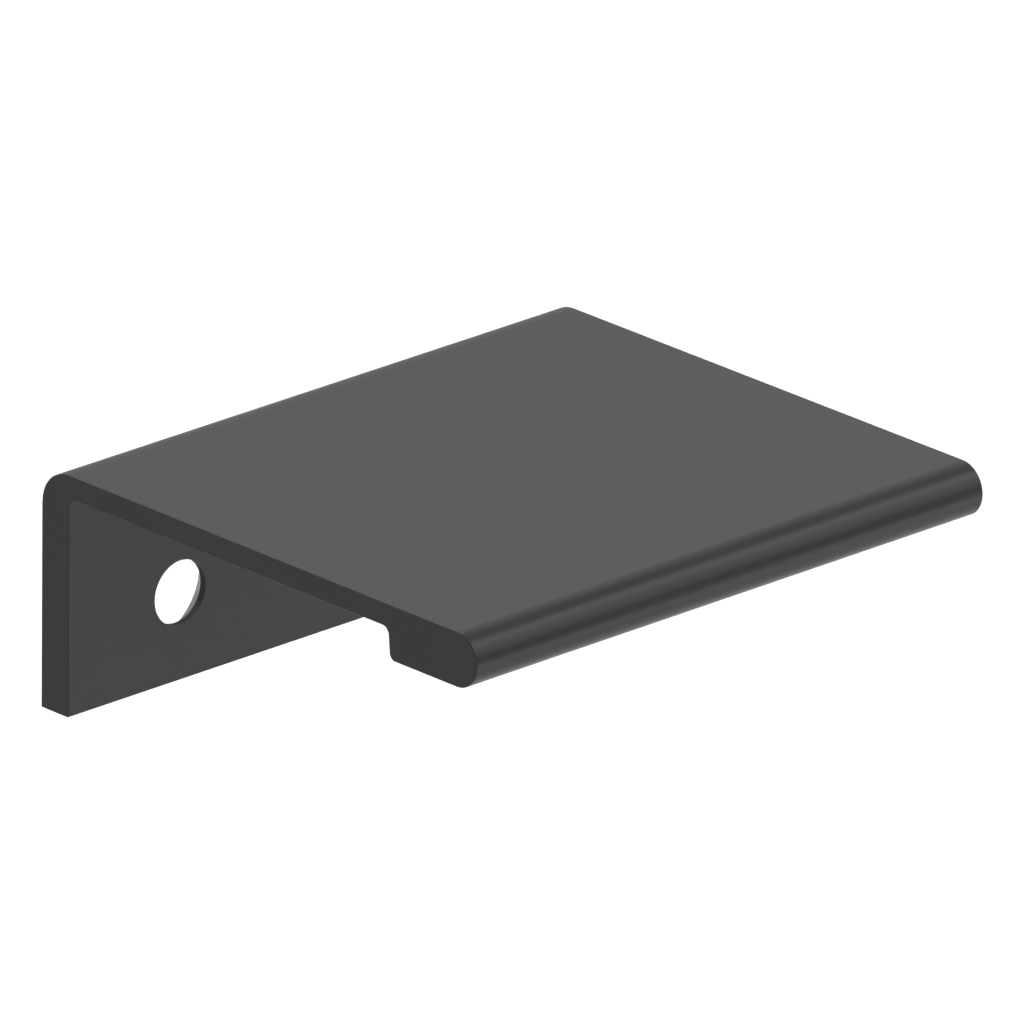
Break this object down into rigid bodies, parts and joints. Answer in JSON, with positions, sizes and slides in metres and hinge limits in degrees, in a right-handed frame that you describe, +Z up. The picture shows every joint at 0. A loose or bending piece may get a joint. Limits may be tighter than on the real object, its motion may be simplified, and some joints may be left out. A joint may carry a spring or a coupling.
{
  "type": "tab pull",
  "caption": "Extruded tab pull for a drawer or door edge: flat plate with a rounded, hooked front lip and a rear leg with countersunk screw holes.",
  "frame": {"origin": "midway between the screw holes, on the leg's front face, which seats against the back of the drawer front", "axes": "+X along the extrusion, -Y to the front, towards the rounded lip, +Z up, from the leg's foot to the plate"},
  "size_m": [0.04, 0.0365, 0.015],
  "materials": {
    "black_anodised_aluminium": "satin black anodised"
  },
  "bodies": {
    "root": {"tab_pull": "black_anodised_aluminium"}
  },
  "joints": []
}
